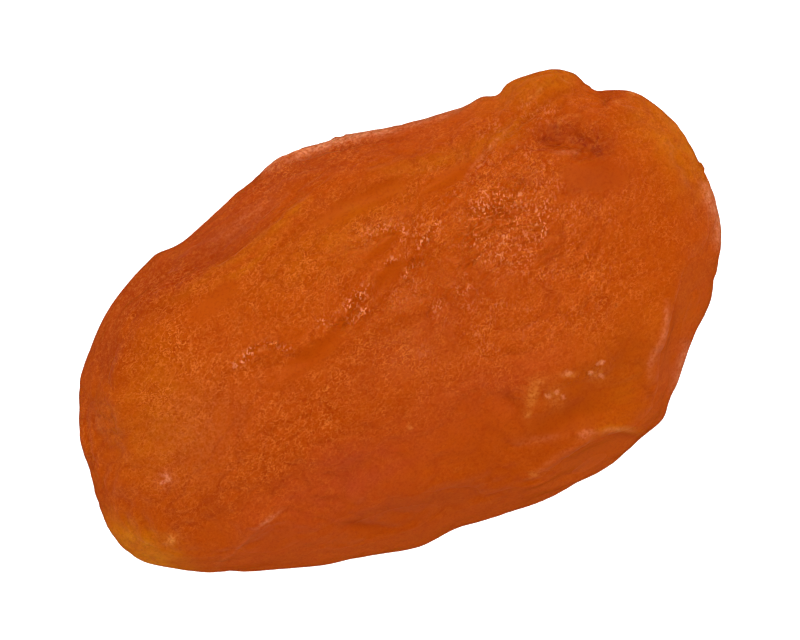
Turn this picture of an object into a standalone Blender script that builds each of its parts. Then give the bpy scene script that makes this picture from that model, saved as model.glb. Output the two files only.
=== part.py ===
"""A dried apricot: a whole fruit, pitted and dried flat, with its skin on.

Run with: blender --background --python part.py
Metres, +Z up. X runs along the fruit towards its stem end, and the origin lies on the surface
that the fruit rests on, under the middle of its outline.
"""

import bisect
import math

import bmesh
import bpy
from mathutils import Vector, geometry, noise

MM = 0.001

# Driving dimensions, in millimetres
LENGTH = 44.0
WIDTH = 26.9
THICKNESS = 10.6
# Height of the widest line round the side
SEAM_HEIGHT = 4.1
# How much of the belly is pressed flat by lying on it
FLATTENED = 0.2

# How full the body is above and below its seam. A higher power is a squarer pillow.
UPPER_POWER = 2.8
LOWER_POWER = 2.3

# Quads along X, Y and Z of the cube that the body is rounded from
CELLS = (38, 26, 22)
# Keeps those quads even in size from the middle of the fruit out to its seam
SPREAD_POWER = 6
EVENING_ROUNDS = 20

# Points drawn on each span of a smooth path
OUTLINE_STEPS = 8
FOLD_STEPS = 4

# Outline seen from above, in millimetres, clockwise from the kink on the long upper side
OUTLINE = (
    (-2.0, 13.4), (1.8, 13.1), (6.0, 11.9), (9.5, 11.35), (12.0, 10.9), (13.2, 11.35),
    (15.3, 11.1), (16.8, 10.55), (17.4, 9.4), (18.3, 8.2), (19.6, 7.8), (20.8, 6.2),
    (21.6, 4.0), (21.9, 1.0), (21.6, -1.8), (20.7, -3.9), (18.7, -6.4), (15.8, -9.1),
    (12.7, -12.1), (11.2, -12.35), (8.5, -13.15), (5.2, -13.4), (1.0, -13.05), (-2.5, -12.45),
    (-4.6, -12.4), (-7.5, -11.65), (-12.0, -10.4), (-16.0, -8.7), (-20.0, -6.4), (-21.5, -4.7),
    (-21.85, -2.5), (-21.3, 0.6), (-21.0, 3.0), (-19.5, 6.1), (-17.8, 7.9), (-15.0, 9.95),
    (-11.7, 11.35), (-9.0, 11.45), (-5.5, 12.6),
)

# Folds of the upper side: height, half width and path, in millimetres. A furrow is below zero.
UPPER_FOLDS = {
    "crest of the long shoulder": (0.45, 0.8, (
        (-18.4, -1.0), (-17.9, 2.0), (-17.0, 4.6), (-15.4, 7.2), (-13.0, 8.8), (-9.5, 8.5),
        (-6.0, 8.9), (-3.0, 9.7), (0.5, 10.2), (4.0, 9.7), (7.5, 8.8), (10.5, 8.8),
    )),
    "furrow outside the shoulder": (-0.45, 0.7, (
        (-15.5, 9.0), (-12.5, 9.9), (-9.5, 9.6), (-6.0, 10.0), (-3.0, 10.8), (0.5, 11.4),
    )),
    "furrow under the rim lip": (-0.35, 0.5, (
        (-4.0, 12.5), (-1.0, 12.75), (2.0, 12.2), (4.5, 11.5), (7.0, 10.7), (9.5, 10.4),
    )),
    "hollow inside the shoulder": (-0.45, 0.8, (
        (-6.5, 7.4), (-3.0, 8.2), (0.5, 8.6), (3.5, 8.1), (6.0, 7.5), (8.5, 7.6), (12.0, 8.4),
    )),
    "lip of the suture fold": (0.35, 0.6, (
        (-15.5, -0.6), (-13.6, 1.9), (-11.0, 3.0), (-8.2, 2.9), (-6.0, 2.1), (-4.0, 2.3),
        (-2.2, 2.8), (-0.5, 3.8), (1.2, 4.6), (3.2, 4.6), (5.2, 5.3), (7.4, 6.6), (9.5, 7.9),
    )),
    "furrow of the suture fold": (-0.5, 0.9, (
        (-10.5, 1.9), (-7.8, 1.5), (-5.5, 1.0), (-2.8, 1.5), (-0.6, 2.6), (1.6, 3.5), (4.2, 3.7),
    )),
    "smooth hollow above the suture": (-0.35, 0.8, (
        (-4.5, 4.6), (-2.0, 5.3), (0.5, 5.6), (3.2, 6.0), (5.2, 6.8),
    )),
    "second furrow beside the suture": (-0.3, 0.7, (
        (10.5, 2.0), (7.5, 0.9), (3.5, 0.6), (0.2, 0.5), (-3.2, 0.1), (-6.2, 0.2), (-9.0, -0.6),
    )),
    "groove round the stem-end lobe": (-0.7, 0.75, (
        (18.6, 7.6), (17.5, 8.7), (16.2, 9.3), (14.9, 9.2), (13.6, 8.9), (12.2, 9.4),
    )),
    "notch beside the lobe": (-0.5, 0.5, ((12.0, 11.4), (12.3, 10.6), (13.0, 9.8))),
    "slit of the stem scar": (-0.6, 0.65, (
        (12.7, 7.5), (13.8, 7.2), (14.7, 6.6), (15.6, 5.8), (16.8, 5.0),
    )),
    "lip below the stem scar": (0.3, 0.6, ((11.8, 6.9), (13.4, 6.1), (15.0, 4.9), (16.6, 3.9))),
    "ridge down the stem-end side": (0.4, 0.7, (
        (18.3, -2.2), (16.8, -4.4), (15.4, -6.2), (14.0, -7.8), (12.9, -9.4), (12.5, -11.4),
    )),
    "slope outside that ridge": (-0.35, 0.9, (
        (19.3, -3.9), (17.4, -5.9), (15.6, -7.8), (14.2, -9.8),
    )),
    "edge of the lower flap": (0.5, 0.7, (
        (2.2, -12.1), (4.6, -11.5), (7.6, -10.7), (9.4, -11.1), (11.3, -12.0),
    )),
    "wedge under the lower flap": (-0.4, 0.8, ((4.8, -12.7), (7.0, -12.2), (9.4, -12.4))),
    "hollow above the lower flap": (-0.35, 1.3, (
        (-0.5, -10.2), (3.5, -9.6), (7.5, -9.1), (11.2, -9.6),
    )),
    "crease at the blotch": (-0.2, 0.6, ((4.5, -5.6), (4.6, -7.0), (5.2, -8.4))),
    "fold at the tip corner": (0.3, 0.6, (
        (-18.4, -6.9), (-16.4, -6.9), (-14.3, -6.6), (-12.9, -6.2), (-11.6, -6.7), (-9.5, -7.8),
    )),
    "furrow beside the tip fold": (-0.3, 0.7, (
        (-18.6, -5.6), (-16.3, -5.9), (-14.2, -5.6), (-12.4, -5.2), (-10.2, -5.8),
    )),
    "long fold of the lower slope": (0.3, 0.9, (
        (-12.5, -8.8), (-8.5, -8.0), (-4.0, -8.4), (-0.5, -9.2),
    )),
    "furrow of the lower slope": (-0.3, 0.8, (
        (-14.0, -7.6), (-10.0, -9.6), (-5.5, -9.9), (-2.0, -10.7), (1.5, -11.6),
    )),
}

# Folds of the face that it lies on. They keep clear of the middle, where it has flattened.
LOWER_FOLDS = {
    "long furrow of the under side": (-0.5, 1.1, (
        (-18.0, 1.5), (-13.0, 4.6), (-6.5, 6.4), (0.5, 6.4), (7.5, 7.2), (13.5, 6.0),
    )),
    "fold beside it": (0.3, 0.9, ((-14.5, 7.6), (-8.0, 9.6), (-1.0, 9.8), (6.0, 10.4))),
    "crease from the stem end": (-0.6, 0.8, (
        (19.8, 3.4), (16.2, 2.0), (12.6, 2.6), (9.8, 1.2),
    )),
    "crease from the tip": (-0.5, 0.7, ((-20.0, -3.6), (-16.2, -3.2), (-12.6, -4.6), (-9.4, -3.6))),
    "furrow along the lower edge": (-0.5, 0.9, (
        (-9.0, -9.4), (-4.2, -8.2), (1.4, -8.8), (6.6, -7.8), (11.8, -8.2),
    )),
    "cross crease": (-0.35, 0.6, ((11.0, -6.4), (9.2, -3.4), (10.4, -0.4))),
}

# Swellings and dents of the upper side: height, place, half lengths, and turn in degrees
UPPER_SWELLS = {
    "lobe at the stem end": (0.9, (15.3, 10.4), (2.1, 1.1), -8.0),
    "knob of the stem scar": (0.65, (16.5, 7.4), (1.6, 1.3), 0.0),
    "pit of the stem scar": (-0.5, (15.7, 5.7), (1.8, 0.9), -38.0),
    "shoulder of the stem end": (0.5, (17.2, 0.6), (3.4, 4.6), 10.0),
    "plateau beside the long shoulder": (0.3, (-12.5, 5.0), (4.0, 3.0), 15.0),
    "belly of the lower half": (0.5, (-4.0, -3.4), (9.0, 2.8), 0.0),
    "belly near the stem end": (0.4, (9.5, -3.0), (4.5, 3.2), -10.0),
    "dent beside the tip": (-0.4, (-19.2, 3.0), (0.9, 2.4), 12.0),
    "blotch": (0.2, (5.9, -6.9), (0.9, 1.2), -20.0),
    "pimple beside the blotch": (0.2, (8.0, -7.2), (0.9, 0.8), 0.0),
    "pimple on the slope": (0.2, (10.3, -7.1), (1.0, 0.8), -15.0),
    "scab near the tip": (0.15, (-17.3, -1.6), (0.7, 0.7), 0.0),
}

# Waves of the seam round the fruit: height in millimetres, number of them, and phase in radians
SEAM_WAVES = ((0.7, 1, 0.5), (0.45, 2, 2.1), (0.2, 5, 0.0))

# The tuck round the side just below the seam. Its place is the sine of its dip below the seam.
TUCK_DEPTH = 0.6
TUCK_DIP = 0.24
TUCK_HALF_WIDTH = 0.11
TUCK_STRETCHES = 3
TUCK_PHASE = 1.2
TUCK_SWAY = 0.07
TUCK_SWAYS = 4

# Slow buckling of the whole skin, and the finer wrinkles on it
BUCKLE_HEIGHT = 0.4
BUCKLE_LENGTH = 7.0
WRINKLE_HEIGHT = 0.2
WRINKLE_LENGTH = 2.6
# Wrinkles are drawn out along the fruit by this much.
WRINKLE_STRETCH = 1.7

# Bands beside the seam where folds and wrinkles die down, as sines of the rise or dip
FOLD_BAND = 0.3
SKIN_BAND = 0.15
SKIN_AT_SEAM = 0.25

FLESH_COLOUR = (0.491, 0.071, 0.006, 1.0)
FLESH_ROUGHNESS = 0.45


def smooth_path(points, steps, closed):
    """Points along a smooth curve through the given ones."""
    knots = [Vector((x, y, 0.0)) for x, y in points]
    count = len(knots)

    def heading(index):
        if closed:
            return (knots[(index + 1) % count] - knots[index - 1]).normalized()
        return (knots[min(index + 1, count - 1)] - knots[max(index - 1, 0)]).normalized()

    path = []
    for index in range(count if closed else count - 1):
        start = knots[index]
        end = knots[(index + 1) % count]
        reach = (end - start).length / 3
        first_handle = start + heading(index) * reach
        second_handle = end - heading((index + 1) % count) * reach
        span = geometry.interpolate_bezier(start, first_handle, second_handle, end, steps + 1)
        path.extend(span[:-1])
    if not closed:
        path.append(knots[-1])
    return path


class Outline:
    """The seam seen from above, as a radius for each direction from the middle."""

    def __init__(self, points):
        bends = smooth_path(points, OUTLINE_STEPS, True)
        polar = sorted((math.atan2(p.y, p.x), math.hypot(p.x, p.y)) for p in bends)
        last, first = polar[-1], polar[0]
        full_turn = 2 * math.pi
        polar = [(last[0] - full_turn, last[1]), *polar, (first[0] + full_turn, first[1])]
        self.angles = [angle for angle, _ in polar]
        self.radii = [radius for _, radius in polar]

    def radius(self, angle):
        after = bisect.bisect_right(self.angles, angle)
        start = self.angles[after - 1]
        share = (angle - start) / (self.angles[after] - start)
        return self.radii[after - 1] * (1 - share) + self.radii[after] * share


class Fold:
    """A ridge or furrow that follows a path and dies away at both ends."""

    def __init__(self, height, half_width, points):
        self.height = height
        self.half_width = half_width
        self.path = smooth_path(points, FOLD_STEPS, False)

    def relief(self, spot):
        nearest = None
        for index in range(len(self.path) - 1):
            start = self.path[index]
            along = self.path[index + 1] - start
            share = max(0.0, min(1.0, (spot - start).dot(along) / along.length_squared))
            distance = (spot - start - along * share).length
            if nearest is None or distance < nearest[0]:
                nearest = (distance, (index + share) / (len(self.path) - 1))
        distance, progress = nearest
        ends = math.sin(math.pi * progress) ** 0.5 if 0 < progress < 1 else 0.0
        return self.height * ends * math.exp(-((distance / self.half_width) ** 2))


class Swell:
    """An oval mound or dent."""

    def __init__(self, height, centre, half_lengths, turn_degrees):
        self.height = height
        self.centre = Vector((*centre, 0.0))
        self.half_lengths = half_lengths
        turn = math.radians(turn_degrees)
        self.along = Vector((math.cos(turn), math.sin(turn), 0.0))
        self.across = Vector((-math.sin(turn), math.cos(turn), 0.0))

    def relief(self, spot):
        offset = spot - self.centre
        along = offset.dot(self.along) / self.half_lengths[0]
        across = offset.dot(self.across) / self.half_lengths[1]
        return self.height * math.exp(-(along**2 + across**2))


def round_cube(cells):
    """A unit sphere of even quads, made from a cube."""
    bm = bmesh.new()
    bmesh.ops.create_cube(bm, size=2.0)
    for axis, count in enumerate(cells):
        along_axis = [
            edge for edge in bm.edges if edge.verts[0].co[axis] != edge.verts[1].co[axis]
        ]
        bmesh.ops.subdivide_edges(bm, edges=along_axis, cuts=count - 1)
    for vert in bm.verts:
        vert.co = Vector([math.tan(c * math.pi / 4) for c in vert.co]).normalized()
    return bm


def seam_wander(angle):
    """How far the seam rises and falls round the fruit, in millimetres."""
    return sum(height * math.sin(count * angle + phase) for height, count, phase in SEAM_WAVES)


def oval_radius(angle):
    """Radius of the plain oval as long and as wide as the fruit."""
    across = math.hypot(WIDTH * math.cos(angle), LENGTH * math.sin(angle))
    return LENGTH * WIDTH / (2 * across)


def body_point(direction, outline):
    """Where a point of the unit sphere comes to lie on the smooth body."""
    angle = math.atan2(direction.y * WIDTH, direction.x * LENGTH)
    from_middle = math.acos(min(1.0, abs(direction.z))) / (math.pi / 2)
    share = (SPREAD_POWER * from_middle - from_middle**SPREAD_POWER) / (SPREAD_POWER - 1)
    share = min(share, 1.0)
    oval = oval_radius(angle)
    radius = (oval + (outline.radius(angle) - oval) * share**2) * share
    seam = SEAM_HEIGHT + seam_wander(angle) * share**2
    if direction.z >= 0:
        rise = (THICKNESS - SEAM_HEIGHT) * math.sqrt(1 - share**UPPER_POWER)
    else:
        rise = -(SEAM_HEIGHT + FLATTENED) * math.sqrt(1 - share**LOWER_POWER)
    return Vector((radius * math.cos(angle), radius * math.sin(angle), seam + rise))


def even_out(bm, outline):
    """Slides the sphere's points about until its quads come out even on the body."""
    for _ in range(EVENING_ROUNDS):
        places = {vert: body_point(vert.co, outline) for vert in bm.verts}
        slid = {}
        for vert in bm.verts:
            pull = Vector()
            weight = 0.0
            for edge in vert.link_edges:
                other = edge.other_vert(vert)
                length = (places[other] - places[vert]).length
                pull += (other.co - vert.co) * length
                weight += length
            slid[vert] = (vert.co + pull / weight / 2).normalized()
        for vert, direction in slid.items():
            vert.co = direction


def tuck_relief(direction):
    """The tuck below the seam, deeper on some stretches than on others."""
    angle = math.atan2(direction.y, direction.x)
    depth = TUCK_DEPTH * (1 + math.sin(TUCK_STRETCHES * angle + TUCK_PHASE)) / 2
    middle = -TUCK_DIP + TUCK_SWAY * math.sin(TUCK_SWAYS * angle)
    return -depth * math.exp(-(((direction.z - middle) / TUCK_HALF_WIDTH) ** 2))


def skin_relief(point):
    """Buckling and wrinkles at a point of the body, in millimetres."""
    slow = noise.noise(point / BUCKLE_LENGTH)
    drawn_out = Vector((point.x / WRINKLE_STRETCH, point.y, point.z))
    fine = noise.noise(drawn_out / WRINKLE_LENGTH)
    return BUCKLE_HEIGHT * slow + WRINKLE_HEIGHT * fine


def away_from_seam(direction, band):
    """One on the faces, falling to nothing at the seam, so that the outline keeps its shape."""
    lift = min(1.0, abs(direction.z) / band)
    return lift * lift * (3 - 2 * lift)


def shape_body(bm):
    """Turns the round cube into the apricot, in millimetres."""
    outline = Outline(OUTLINE)
    above = [Fold(*fold) for fold in UPPER_FOLDS.values()]
    above += [Swell(*swell) for swell in UPPER_SWELLS.values()]
    below = [Fold(*fold) for fold in LOWER_FOLDS.values()]
    even_out(bm, outline)
    directions = [vert.co.copy() for vert in bm.verts]
    for vert in bm.verts:
        vert.co = body_point(vert.co, outline)
    bm.normal_update()
    normals = [vert.normal.copy() for vert in bm.verts]
    for vert, direction, normal in zip(bm.verts, directions, normals):
        spot = Vector((vert.co.x, vert.co.y, 0.0))
        reliefs = above if direction.z >= 0 else below
        folds = sum(shape.relief(spot) for shape in reliefs)
        relief = folds * away_from_seam(direction, FOLD_BAND) + tuck_relief(direction)
        skin = skin_relief(vert.co) * max(away_from_seam(direction, SKIN_BAND), SKIN_AT_SEAM)
        vert.co += normal * (relief + skin)


def fit_to_size(bm):
    """Brings the body to its driving dimensions in metres, with a flat spot where it rests."""
    for vert in bm.verts:
        vert.co.z = max(vert.co.z, 0.0)
    xs = [vert.co.x for vert in bm.verts]
    ys = [vert.co.y for vert in bm.verts]
    top = max(vert.co.z for vert in bm.verts)
    for vert in bm.verts:
        vert.co.x = (vert.co.x - (max(xs) + min(xs)) / 2) * LENGTH / (max(xs) - min(xs)) * MM
        vert.co.y = (vert.co.y - (max(ys) + min(ys)) / 2) * WIDTH / (max(ys) - min(ys)) * MM
        vert.co.z *= THICKNESS / top * MM
    bm.normal_update()


def flesh_material():
    """Moist orange flesh and skin."""
    material = bpy.data.materials.new("dried_apricot_flesh")
    material.use_nodes = True
    shader = material.node_tree.nodes["Principled BSDF"]
    shader.inputs["Base Color"].default_value = FLESH_COLOUR
    shader.inputs["Roughness"].default_value = FLESH_ROUGHNESS
    shader.inputs["Metallic"].default_value = 0.0
    material.diffuse_color = FLESH_COLOUR
    return material


def make_apricot(collection):
    """The whole fruit, one body."""
    bm = round_cube(CELLS)
    shape_body(bm)
    fit_to_size(bm)
    mesh = bpy.data.meshes.new("apricot")
    bm.to_mesh(mesh)
    bm.free()
    mesh.shade_smooth()
    mesh.materials.append(flesh_material())
    apricot = bpy.data.objects.new("apricot", mesh)
    collection.objects.link(apricot)
    return apricot


for old in list(bpy.data.objects):
    bpy.data.objects.remove(old)
dried_apricot = bpy.data.collections.new("dried_apricot")
bpy.context.scene.collection.children.link(dried_apricot)
make_apricot(dried_apricot)
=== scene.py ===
"""A dried apricot lying on a pale table, seen from straight above.

Metres, +Z up, in the frame of the CAD model: X runs along the fruit to its stem end, Y across it
to its long shoulder, and Z = 0 is the table. Places and lengths are written in millimetres.
"""

import math

import bmesh
import bpy
import numpy as np
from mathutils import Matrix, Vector, geometry, noise


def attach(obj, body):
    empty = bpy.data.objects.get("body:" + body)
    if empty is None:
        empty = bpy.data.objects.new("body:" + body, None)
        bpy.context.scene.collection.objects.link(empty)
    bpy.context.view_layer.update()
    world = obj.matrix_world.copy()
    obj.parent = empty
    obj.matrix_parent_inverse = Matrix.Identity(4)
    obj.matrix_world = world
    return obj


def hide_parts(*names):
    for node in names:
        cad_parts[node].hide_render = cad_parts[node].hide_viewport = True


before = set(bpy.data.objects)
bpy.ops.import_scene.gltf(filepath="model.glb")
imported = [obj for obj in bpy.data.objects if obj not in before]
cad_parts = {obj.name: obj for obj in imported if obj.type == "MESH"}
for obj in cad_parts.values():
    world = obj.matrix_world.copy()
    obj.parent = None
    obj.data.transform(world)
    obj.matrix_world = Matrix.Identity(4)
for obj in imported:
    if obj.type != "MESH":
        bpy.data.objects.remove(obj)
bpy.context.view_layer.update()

# Camera
# It stands straight above the fruit on a long macro lens, turned so that the stem end is at the
# upper right. The picture's width takes in 50.75 mm at the height of the fruit's seam.
MM = 0.001
PICTURE_TURN = math.radians(-26.0)
PICTURE_WIDTH = 50.75
PICTURE_MIDDLE = (0.50, 0.865, 4.1)
SENSOR_WIDTH = 36.0
MACRO_LENS = 250.0
NEAREST_SEEN = 10.0
FARTHEST_SEEN = 4000.0

camera_data = bpy.data.cameras.new("macro_camera")
camera_data.sensor_width = SENSOR_WIDTH
camera_data.lens = MACRO_LENS
camera = bpy.data.objects.new("macro_camera", camera_data)
bpy.context.scene.collection.objects.link(camera)
camera_distance = PICTURE_WIDTH * MACRO_LENS / SENSOR_WIDTH
camera.location = Vector(PICTURE_MIDDLE) * MM + Vector((0.0, 0.0, camera_distance * MM))
camera.rotation_euler = (0.0, 0.0, PICTURE_TURN)
camera_data.clip_start = NEAREST_SEEN * MM
camera_data.clip_end = FARTHEST_SEEN * MM
bpy.context.scene.camera = camera
bpy.context.scene.view_settings.view_transform = "Standard"


# Table and studio light
# A light table of white opal acrylic, lit from below so that the fruit throws no shadow, in a white
# tent with soft lamps outside. Only a small lamp overhead glints in the skin: the table, the tent
# and the other lamps are kept out of its gloss, as polarising filters would keep them out.
TABLE_WIDTH = 1600.0
TABLE_COLOUR = "#F6F6F4"
TABLE_UNLIT = "#4A4A49"
TABLE_GLOW = 1.9
TABLE_ROUGHNESS = 0.9
TABLE_SPECULAR = 0.1


def linear(hex_colour):
    """A hex sRGB colour as the linear values that a shader takes."""
    shares = [int(hex_colour[place:place + 2], 16) / 255 for place in (1, 3, 5)]
    levels = [c / 12.92 if c <= 0.04045 else ((c + 0.055) / 1.055) ** 2.4 for c in shares]
    return (*levels, 1.0)


def add_node(tree, kind, settings=(), inputs=()):
    """Adds a node, with its settings, and with each input's value or the output linked to it."""
    node = tree.nodes.new(kind)
    for name, value in dict(settings).items():
        setattr(node, name, value)
    for name, value in dict(inputs).items():
        if isinstance(value, bpy.types.NodeSocket):
            tree.links.new(value, node.inputs[name])
        else:
            node.inputs[name].default_value = value
    return node


# Opal acrylic of a light table: its own white glow hides the shadow on it
acrylic = bpy.data.materials.new("opal_acrylic_sheet")
acrylic.use_nodes = True
acrylic_shader = acrylic.node_tree.nodes["Principled BSDF"]
acrylic_shader.inputs["Base Color"].default_value = linear(TABLE_UNLIT)
acrylic_shader.inputs["Roughness"].default_value = TABLE_ROUGHNESS
acrylic_shader.inputs["Specular IOR Level"].default_value = TABLE_SPECULAR
acrylic_shader.inputs["Emission Color"].default_value = linear(TABLE_COLOUR)
acrylic_shader.inputs["Emission Strength"].default_value = TABLE_GLOW

table_bm = bmesh.new()
bmesh.ops.create_grid(table_bm, x_segments=1, y_segments=1, size=TABLE_WIDTH / 2 * MM)
table_mesh = bpy.data.meshes.new("table")
table_bm.to_mesh(table_mesh)
table_bm.free()
table_mesh.materials.append(acrylic)
table = bpy.data.objects.new("table", table_mesh)
bpy.context.scene.collection.objects.link(table)
table.visible_glossy = False

# Softboxes: the direction they stand in, as degrees round from the picture's right and degrees
# above the table, their distance and width in millimetres, their power in watts, and whether
# the skin mirrors them
SOFTBOXES = {
    "softbox_overhead": (75.0, 72.0, 330.0, 100.0, 0.75, True),
    "softbox_behind": (100.0, 40.0, 450.0, 320.0, 0.1, False),
    "softbox_left": (200.0, 35.0, 450.0, 320.0, 0.17, False),
    "softbox_right": (-10.0, 45.0, 450.0, 320.0, 0.12, False),
    "softbox_front": (-105.0, 35.0, 450.0, 320.0, 0.2, False),
}
ROOM_COLOUR = "#FFF2E8"
ROOM_STRENGTH = 0.27

for name, (round_degrees, up_degrees, distance, width, power, mirrored) in SOFTBOXES.items():
    light = bpy.data.lights.new(name, "AREA")
    light.shape = "SQUARE"
    light.size = width * MM
    light.energy = power
    softbox = bpy.data.objects.new(name, light)
    round_angle = math.radians(round_degrees) + PICTURE_TURN
    up_angle = math.radians(up_degrees)
    towards = Vector((
        math.cos(round_angle) * math.cos(up_angle),
        math.sin(round_angle) * math.cos(up_angle),
        math.sin(up_angle),
    ))
    softbox.location = towards * distance * MM
    softbox.rotation_euler = towards.to_track_quat("Z", "Y").to_euler()
    softbox.visible_glossy = mirrored
    bpy.context.scene.collection.objects.link(softbox)

room = bpy.data.worlds.new("studio_room")
bpy.context.scene.world = room
room.use_nodes = True
room.node_tree.nodes["Background"].inputs["Color"].default_value = linear(ROOM_COLOUR)
room.node_tree.nodes["Background"].inputs["Strength"].default_value = ROOM_STRENGTH
room.cycles_visibility.glossy = False


# Fruit: the body
# A ripe apricot, pitted whole and dried until its flesh is a soft, dense pulp and its skin has
# drawn in to wrinkles and folds. One soft piece, which stands for the CAD solid, drawn finer, and
# finest where the photograph shows small marks.
MERGE_DISTANCE = 0.0005
FLATNESS_TO_PAIR = math.radians(60.0)
SHAPE_TO_PAIR = math.radians(60.0)
SKIN_LEVELS = 2
PATH_STEPS = 5
FINEST_ABOVE = 0.3

fruit_bm = bmesh.new()
fruit_bm.from_mesh(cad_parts["apricot"].data)
bmesh.ops.remove_doubles(fruit_bm, verts=fruit_bm.verts, dist=MERGE_DISTANCE * MM)
bmesh.ops.join_triangles(
    fruit_bm,
    faces=fruit_bm.faces,
    angle_face_threshold=FLATNESS_TO_PAIR,
    angle_shape_threshold=SHAPE_TO_PAIR,
)
bmesh.ops.recalc_face_normals(fruit_bm, faces=fruit_bm.faces)
coarse_mesh = bpy.data.meshes.new("fruit_coarse")
fruit_bm.to_mesh(coarse_mesh)
fruit_bm.free()
coarse_fruit = bpy.data.objects.new("fruit_coarse", coarse_mesh)
bpy.context.scene.collection.objects.link(coarse_fruit)
skin_levels = coarse_fruit.modifiers.new("skin", "SUBSURF")
skin_levels.levels = SKIN_LEVELS
skin_levels.render_levels = SKIN_LEVELS
bpy.context.view_layer.update()
fruit_mesh = bpy.data.meshes.new_from_object(
    coarse_fruit.evaluated_get(bpy.context.evaluated_depsgraph_get())
)
fruit_mesh.name = "dried_fruit"
bpy.data.objects.remove(coarse_fruit)
fruit = bpy.data.objects.new("dried_fruit", fruit_mesh)
bpy.context.scene.collection.objects.link(fruit)


def vertex_places():
    """The places of the fruit's mesh points, in millimetres."""
    values = np.zeros(len(fruit_mesh.vertices) * 3)
    fruit_mesh.vertices.foreach_get("co", values)
    return values.reshape(-1, 3) / MM


def smooth_path(points, steps):
    """Points along a smooth curve through the given ones."""
    knots = [Vector((x, y, 0.0)) for x, y in points]
    last = len(knots) - 1
    headings = [
        (knots[min(place + 1, last)] - knots[max(place - 1, 0)]).normalized()
        for place in range(last + 1)
    ]
    path = []
    for place in range(last):
        start, end = knots[place], knots[place + 1]
        reach = (end - start).length / 3
        handles = (start + headings[place] * reach, end - headings[place + 1] * reach)
        path.extend(geometry.interpolate_bezier(start, *handles, end, steps + 1)[:-1])
    path.append(knots[last])
    return np.array([point.xy for point in path])


def along_path(half_width, *points):
    """How near each place is to a path seen from above: one on it, and nothing away from it."""
    path = smooth_path(points, PATH_STEPS)
    from_above = places[:, :2]
    nearest = np.full(len(from_above), np.inf)
    progress = np.zeros(len(from_above))
    for index in range(len(path) - 1):
        start = path[index]
        along = path[index + 1] - start
        share = np.clip((from_above - start) @ along / (along @ along), 0, 1)
        distance = np.linalg.norm(from_above - start - share[:, None] * along, axis=1)
        closer = distance < nearest
        nearest[closer] = distance[closer]
        progress[closer] = (index + share[closer]) / (len(path) - 1)
    ends = np.sqrt(np.clip(np.sin(np.pi * progress), 0, 1))
    return ends * np.exp(-((nearest / half_width) ** 2))


def in_oval(centre, half_lengths, turn_degrees):
    """How far inside an oval patch seen from above each place is."""
    turn = math.radians(turn_degrees)
    offset = places[:, :2] - np.array(centre)
    along = offset @ np.array((math.cos(turn), math.sin(turn))) / half_lengths[0]
    across = offset @ np.array((-math.sin(turn), math.cos(turn))) / half_lengths[1]
    return np.exp(-(along**2 + across**2))


def smoothly(values, low, high):
    """Nothing below the low value, one above the high one, and an easy rise between."""
    share = np.clip((values - low) / (high - low), 0, 1)
    return share * share * (3 - 2 * share)


def strongest(*fields):
    """At each place the largest of some fields, each given with its strength."""
    return np.max([strength * field for strength, field in fields], axis=0)


def weakened(field, *weakenings):
    """A field made weaker where others are strong, each given with its strength."""
    for strength, place in weakenings:
        field = field * (1 - strength * place)
    return field


def cloudy(length, seed):
    """Noise between minus one and one at each place, in clouds of this length."""
    shift = Vector((seed, seed * 2.0, seed * 3.0))
    return np.array([noise.noise(Vector(place) / length + shift) for place in places])


# The mesh is made finer round small marks: the scar, the glints, the blotch, the flap and creases
places = vertex_places()
detailed = np.max([
    in_oval((15.2, 6.4), (2.6, 1.9), -20.0),
    in_oval((8.6, 3.6), (3.4, 2.4), 10.0),
    along_path(0.7, (-10.8, 2.2), (-8.6, 2.8), (-6.0, 2.2), (-2.6, 2.4), (-0.4, 3.9)),
    along_path(0.6, (1.2, 2.6), (2.4, 3.3), (3.4, 4.4), (5.4, 5.3)),
    in_oval((5.6, -7.0), (1.4, 1.1), 50.0),
    in_oval((9.3, -7.3), (2.3, 0.7), 0.0),
    along_path(0.6, (16.6, -4.6), (15.8, -6.0), (14.9, -7.2), (13.6, -8.4)),
    along_path(0.6, (6.8, -10.4), (8.0, -10.7), (9.8, -11.4), (11.6, -12.4)),
    along_path(0.8, (-4.0, 13.2), (-0.5, 13.0), (3.0, 12.3), (7.0, 10.8)),
    along_path(0.6, (-14.0, 9.0), (-10.0, 9.0), (-5.0, 9.6), (1.0, 10.9)),
    along_path(0.5, (13.0, 9.0), (10.0, 8.0), (7.4, 6.4), (5.0, 5.2)),
    in_oval((-17.5, -1.7), (0.8, 0.7), 0.0),
    in_oval((-18.5, -5.3), (0.8, 0.7), 0.0),
    along_path(0.7, (-17.0, -8.0), (-15.4, -7.5), (-13.8, -6.9), (-11.8, -6.6)),
    in_oval((14.6, 10.2), (1.6, 0.8), 10.0),
    in_oval((18.3, 8.2), (1.2, 0.9), 0.0),
], axis=0)
finer_bm = bmesh.new()
finer_bm.from_mesh(fruit_mesh)
edges_in_detail = [
    edge for edge in finer_bm.edges
    if all(vert.normal.z > 0 and detailed[vert.index] > FINEST_ABOVE for vert in edge.verts)
]
bmesh.ops.subdivide_edges(finer_bm, edges=edges_in_detail, cuts=1, use_grid_fill=True)
finer_bm.to_mesh(fruit_mesh)
finer_bm.free()
fruit_mesh.shade_smooth()

places = vertex_places()
normals = np.array([vert.normal for vert in fruit_mesh.vertices])


# Fruit: creases, wrinkles and smooth places of the skin
# Where the skin dried over soft flesh it is finely crinkled, and where it sank in it is tight
# and smooth. Sharp creases run along the folds of the body.
TOP_EDGE = (-0.15, 0.15)
TIGHT_RAGGEDNESS = 0.12
TIGHT_EDGE = (0.3, 0.75)

on_top = smoothly(normals[:, 2], *TOP_EDGE)
underneath = 1 - on_top

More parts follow.
